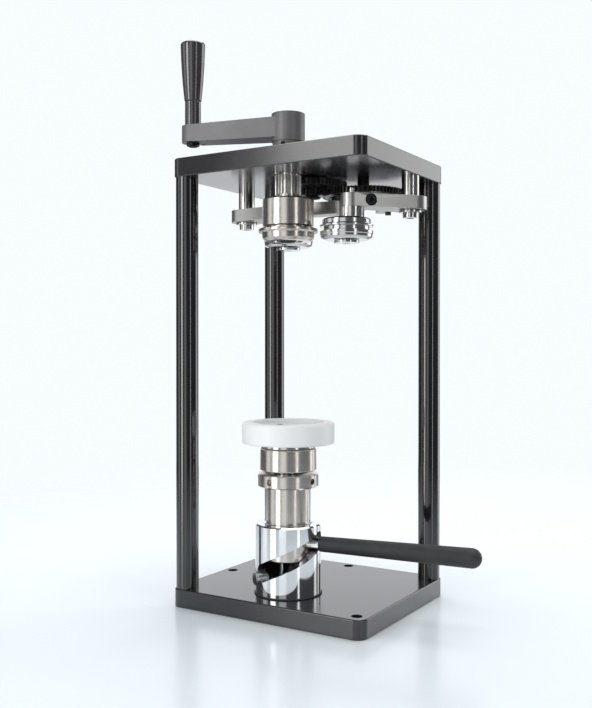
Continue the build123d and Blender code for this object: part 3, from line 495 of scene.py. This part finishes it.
def screw_recipe():
    """Knurled socket head screw at each point, its head along the point's axis."""
    r = Recipe("socket_head_screws", {"Head Radius": 0.0065, "Head Height": 0.008, "Socket Radius": 0.0035,
                                      "Shank Radius": 0.004, "Shank Length": 0.02, "Knurls": 40,
                                      "Ridge": 0.03})
    head_r = r.given("Head Radius")
    head_h = r.given("Head Height")
    shank_len = r.given("Shank Length")
    body_h = head_h * BODY_SHARE
    cap_h = head_h * (1 - BODY_SHARE)
    body = r.raised(knurled(r, r.rod(r.given("Knurls") * 2, head_r, body_h)), body_h * 0.5)
    cap = r.node("GeometryNodeMeshCone", {"fill_type": "NGON"}, Vertices=40, Depth=cap_h,
                 Radius_Top=head_r * CAP_TOP_SHARE, Radius_Bottom=head_r * CAP_FOOT_SHARE)
    hollow = r.raised(r.rod(6, r.given("Socket Radius"), head_h), head_h)
    shank = r.raised(r.rod(24, r.given("Shank Radius"), shank_len), shank_len * -0.5)
    screw = r.join(r.cut(body, hollow), r.cut(r.raised(cap, body_h), hollow), shank)
    axis = r.node("GeometryNodeInputNamedAttribute", {"data_type": "FLOAT_VECTOR"}, "axis")
    turn = r.node("FunctionNodeAlignRotationToVector", {"axis": "Z"}, Vector=axis)
    r.finish(r.node("GeometryNodeInstanceOnPoints", {}, Points=r.given("Geometry"), Instance=screw,
                    Rotation=turn))
    return r


def spring_recipe():
    """Round wire wound along Z, with a hook ring at each end."""
    r = Recipe("wound_springs", {"Length": 0.05, "Coil Radius": 0.002, "Wire Radius": 0.0007,
                                 "Turns": 14.0, "Hook Radius": 0.0026})
    wire = r.given("Wire Radius")
    length = r.given("Length")
    coil_r = r.given("Coil Radius")
    inner = r.given("Hook Radius") + wire
    coil = r.node("GeometryNodeCurveSpiral", {}, Resolution=20, Rotations=r.given("Turns"),
                  Start_Radius=coil_r, End_Radius=coil_r, Height=length - inner * 2.0)
    ring = r.node("GeometryNodeCurvePrimitiveCircle", {}, Resolution=28, Radius=r.given("Hook Radius"))
    hook = r.node("GeometryNodeTransform", {}, Geometry=ring, Rotation=(0.0, pi / 2, 0.0))
    section = r.node("GeometryNodeCurvePrimitiveCircle", {}, Resolution=10, Radius=wire)
    line = r.join(r.raised(coil, inner), hook, r.raised(hook, length))
    solid = r.node("GeometryNodeCurveToMesh", {}, Curve=line, Profile_Curve=section, Fill_Caps=True)
    r.finish(r.node("GeometryNodeSetShadeSmooth", {}, Geometry=solid))
    return r


SCREWS = screw_recipe()
SPRINGS = spring_recipe()


def marks(name, places):
    """Mesh of loose points, each with the axis that its screw's head points along."""
    mesh = bpy.data.meshes.new(name)
    mesh.from_pydata([place for place, axis in places], [], [])
    aimed = mesh.attributes.new("axis", "FLOAT_VECTOR", "POINT")
    for i, (place, axis) in enumerate(places):
        aimed.data[i].vector = axis
    return mesh


def islands(node):
    """Separate solids of a node, each as a list of its corners."""
    shape = bmesh.new()
    shape.from_mesh(merged(node))
    seen = set()
    found = []
    for first in shape.verts:
        if first in seen:
            continue
        seen.add(first)
        group = [first]
        for vert in group:
            for edge in vert.link_edges:
                other = edge.other_vert(vert)
                if other not in seen:
                    seen.add(other)
                    group.append(other)
        found.append([vert.co.copy() for vert in group])
    shape.free()
    return found


def upright_screw(corners):
    """Place, axis and sizes of a plain screw that stands upright."""
    low, high = min(c.z for c in corners), max(c.z for c in corners)
    left, right = min(c.x for c in corners), max(c.x for c in corners)
    front, back = min(c.y for c in corners), max(c.y for c in corners)
    x, y, radius = (left + right) / 2, (front + back) / 2, (right - left) / 2
    rim = [c.z for c in corners if (c.x - x) ** 2 + (c.y - y) ** 2 > (RIM_SHARE * radius) ** 2]
    head_up = max(rim) > (low + high) / 2
    under = min(rim) if head_up else max(rim)
    tip = low if head_up else high
    sizes = {"Head_Radius": radius, "Head_Height": max(rim) - min(rim), "Shank_Length": abs(under - tip),
             "Shank_Radius": radius * SHANK_SHARE}
    return (x, y, under), (0.0, 0.0, 1.0 if head_up else -1.0), sizes


def upright_screws(node, material, socket=0.5):
    """Knurled screws where a node has plain ones, all of one size, that stand upright."""
    found = [upright_screw(corners) for corners in islands(node)]
    points = marks(node + "_marks", [(place, axis) for place, axis, sizes in found])
    sizes = found[-1][2]
    socket_r = sizes["Head_Radius"] * socket
    mesh = SCREWS.make(node + "_marks", points, material, Socket_Radius=socket_r, **sizes)
    return placed(node + "_knurled", mesh, node)


def clamp_screw(node, axle, pivot, material):
    """Screw in the side of an arm, by the eccentric axle."""
    along = (Vector(pivot) - Vector(axle)).normalized()
    side = Vector((along.y, -along.x))
    spot = Vector(axle) + along * CLAMP_FROM_AXLE + side * CLAMP_UNDER_HEAD
    point = marks(node + "_mark", [((spot.x, spot.y, CLAMP_LEVEL), (side.x, side.y, 0.0))])
    return placed(node + "_knurled", SCREWS.make(node + "_mark", point, material, **CLAMP_SIZES), node)


def wound_spring(node, ends, material, turns):
    """Return spring that lies between its two pins, with a hook ring round each."""
    start, end = ends
    along = Vector((end[0] - start[0], end[1] - start[1], 0.0))
    turn = along.to_track_quat("Z", "X").to_matrix().to_4x4()
    mesh = SPRINGS.make(node + "_wire", bpy.data.meshes.new(node + "_wire"), material, Length=along.length,
                        Turns=turns, **SPRING_SIZES)
    mesh.transform(Matrix.Translation((start[0], start[1], SPRING_LEVEL)) @ turn)
    return placed(node + "_wound", mesh, node)


# Finishes for each piece

PLATE = anodised_plate()
ENAMELLED = gloss_enamel()
CRANK = crank_coating()
POLISHED = polished_handle()
OXIDE = black_oxide()
GEARS = oiled_gears()
GRIP = matt_rubber()
WHITE = white_plastic()
CHROME_SEAM = bright_chrome("barrel", SEAM)
NICKEL_SEAM = turned_metal("nickel", NICKEL, SEAM)
STEEL_SEAM = turned_metal("bright_steel", BRIGHT_STEEL, SEAM, 0.2)
PIVOT_STEEL = turned_metal("pivot_steel", BRIGHT_STEEL, FIRST_PIVOT, 0.16)


def dress_frame():
    eased("base_plate", PLATE, 0.5, broad=True)
    eased("top_plate", PLATE, 0.5, broad=True)
    for name, place in POSTS.items():
        eased(name, ENAMELLED, 0.2, axis=place)
    for name in ("gear_studs", "stud_retainers", "stud_nuts"):
        eased(name, OXIDE, 0.25)
    for name in ("post_screws", "barrel_screws", "cover_screws"):
        upright_screws(name, OXIDE)
    eased("pivot_screws", PIVOT_STEEL, 0.25)
    eased("lift_barrel", CHROME_SEAM, 0.35, axis=SEAM)
    eased("barrel_seat_ring", GRIP, 0.3, axis=SEAM)
    eased("slot_stop_pin", STEEL_SEAM, 0.3)
    eased("spindle_bearing_outer_races", STEEL_SEAM, 0.2, axis=SEAM)
    eased("bearing_cover", STEEL_SEAM, 0.3, axis=SEAM)
    for name in ("arm_pivot_posts", "plate_spring_pins"):
        eased(name, PIVOT_STEEL, 0.1)
    wound_spring("first_return_spring", FIRST_SPRING, PIVOT_STEEL, 34.0)
    wound_spring("second_return_spring", SECOND_SPRING, PIVOT_STEEL, 38.0)


def dress_lift():
    eased("plunger", NICKEL_SEAM, 0.3, axis=SEAM)
    eased("adjusting_ring", NICKEL_SEAM, 0.35, axis=SEAM)
    eased("table_housing", NICKEL_SEAM, 0.35, axis=SEAM)
    for name in ("spring_seat", "table_stem", "table_bearing_outer_race", "table_bearing_inner_race",
                 "table_hub"):
        eased(name, STEEL_SEAM, 0.15, axis=SEAM)
    eased("lever_rod", STEEL_SEAM, 0.15)
    eased("pressure_spring", STEEL_SEAM, 0.0, 60.0)
    eased("lever_grip", GRIP, 0.4)
    eased("can_platform", WHITE, 0.5, axis=SEAM)
    upright_screws("table_screws", OXIDE)


def dress_spindle():
    for name in ("spindle", "spindle_bearing_inner_races"):
        eased(name, STEEL_SEAM, 0.12, axis=SEAM)
    eased("drive_pinion", STEEL_SEAM, 0.12)
    for name in ("chuck_holder", "seaming_chuck"):
        eased(name, NICKEL_SEAM, 0.25, axis=SEAM)
    upright_screws("chuck_screw", OXIDE, 0.45)
    for name in ("collar_set_screw", "handle_nut", "handle_bolt"):
        eased(name, OXIDE, 0.25)
    eased("crank_arm", CRANK, 0.9, broad=True)
    eased("spindle_collar", CRANK, 0.5, axis=SEAM)
    eased("handle_ferrule", POLISHED, 0.3, axis=HANDLE)
    eased("handle_grip", POLISHED, 0.4, axis=HANDLE)


def dress_train():
    for name in ("idler_gear", "cam_gear", "seaming_cam", "first_cam_follower", "second_cam_follower"):
        eased(name, GEARS, 0.15)


def dress_arms():
    arms = (("first", FIRST_PIVOT, FIRST_ROLLER), ("second", SECOND_PIVOT, SECOND_ROLLER))
    for name, pivot, roller in arms:
        turn = Vector((roller[0] - pivot[0], roller[1] - pivot[1])).angle_signed(Vector((1.0, 0.0)))
        eased(name + "_arm", milled_arm(name, turn), 0.6, broad=True)
        eased(name + "_roller_axle", turned_metal(name + "_axle", BRIGHT_STEEL, roller, 0.18), 0.3)
        bright = turned_metal(name + "_roller", ROLLER_STEEL, roller, 0.17, 0.1)
        eased(name + "_roller", bright, 0.3, axis=roller)
    clamp_screw("first_clamp_screw", FIRST_AXLE, FIRST_PIVOT, OXIDE)
    clamp_screw("second_clamp_screw", SECOND_AXLE, SECOND_PIVOT, OXIDE)


dress_frame()
dress_lift()
dress_spindle()
dress_train()
dress_arms()


# Stage: floor, background, lights and camera

def pale_floor():
    """White floor that fades into the background away from the machine."""
    mesh = bpy.data.meshes.new("floor")
    r = FLOOR_REACH
    mesh.from_pydata([(-r, -r, 0), (r, -r, 0), (r, r, 0), (-r, r, 0)], [], [(0, 1, 2, 3)])
    floor = bpy.data.objects.new("floor", mesh)
    bpy.context.scene.collection.objects.link(floor)
    finish = Finish("pale_floor", FLOOR_WHITE, 0.22)
    distance = finish.node("ShaderNodeVectorMath", {"operation": "LENGTH"}, finish.place(), out="Value")
    clear = finish.node("ShaderNodeBsdfTransparent", {})
    white = Signal(finish, finish.shader.outputs[0])
    mix = finish.node("ShaderNodeMixShader", {}, distance.clamped(*FLOOR_FADE), white, clear)
    finish.tree.links.new(mix.socket, finish.tree.nodes["Material Output"].inputs["Surface"])
    mesh.materials.append(finish.material)


def background():
    """Pale to the camera, soft on dull surfaces, dim to reflections so that metal keeps dark bands."""
    world = bpy.data.worlds.new("studio")
    world.use_nodes = True
    tree = world.node_tree
    bpy.context.scene.world = world
    shown = tree.nodes["Background"]
    fill = tree.nodes.new("ShaderNodeBackground")
    dim = tree.nodes.new("ShaderNodeBackground")
    for glow, colour, strength in ((shown, (0.935, 0.978, 0.99), 1.0), (fill, (0.97, 0.985, 1.0), 0.4),
                                   (dim, (0.9, 0.95, 1.0), 0.12)):
        glow.inputs["Color"].default_value = (*colour, 1.0)
        glow.inputs["Strength"].default_value = strength
    path = tree.nodes.new("ShaderNodeLightPath")
    soft = tree.nodes.new("ShaderNodeMixShader")
    tree.links.new(path.outputs["Is Diffuse Ray"], soft.inputs[0])
    tree.links.new(dim.outputs[0], soft.inputs[1])
    tree.links.new(fill.outputs[0], soft.inputs[2])
    mix = tree.nodes.new("ShaderNodeMixShader")
    tree.links.new(path.outputs["Is Camera Ray"], mix.inputs[0])
    tree.links.new(soft.outputs[0], mix.inputs[1])
    tree.links.new(shown.outputs[0], mix.inputs[2])
    tree.links.new(mix.outputs[0], tree.nodes["World Output"].inputs["Surface"])


def softbox(name, azimuth, width, glow, distance=LIGHT_CIRCLE, height=LIGHT_LEVEL, tall=LIGHT_TALL):
    """Area light on a circle round the machine, as bright to look at as its glow."""
    light = bpy.data.lights.new(name, "AREA")
    light.shape = "RECTANGLE"
    light.size = width
    light.size_y = tall
    light.energy = glow * width * tall * pi
    lamp = bpy.data.objects.new(name, light)
    a = radians(azimuth)
    lamp.location = (distance * cos(a), distance * sin(a), height)
    lamp.rotation_euler = (Vector(LIGHTS_AIM) - lamp.location).to_track_quat("-Z", "Y").to_euler()
    bpy.context.scene.collection.objects.link(lamp)
    return lamp


def studio_lights():
    softbox("key_box", -111.0, 0.44, 4.2)
    softbox("left_wide", -144.0, 0.5, 0.9)
    softbox("front_fill", -78.0, 0.6, 0.9)
    softbox("right_strip", -24.0, 0.14, 3.0)
    softbox("side_box", 58.0, 0.8, 1.9)
    softbox("overhead", 90.0, 1.6, 3.0, distance=0.25, height=1.7, tall=1.6)
    back = softbox("back_panel", 121.5, 1.8, 1.0, distance=1.6, height=0.5, tall=1.2)
    back.data.color = (0.95, 0.97, 1.0)
    back.visible_camera = False


def photo_camera():
    data = bpy.data.cameras.new("photo_camera")
    data.lens = CAMERA_LENS
    data.sensor_width = 36.0
    camera = bpy.data.objects.new("photo_camera", data)
    camera.location = CAMERA_AT
    camera.rotation_euler = (radians(90.0 + CAMERA_PITCH), 0.0, radians(CAMERA_YAW))
    bpy.context.scene.collection.objects.link(camera)
    bpy.context.scene.camera = camera


pale_floor()
background()
studio_lights()
photo_camera()
bpy.context.scene.view_settings.view_transform = "Standard"
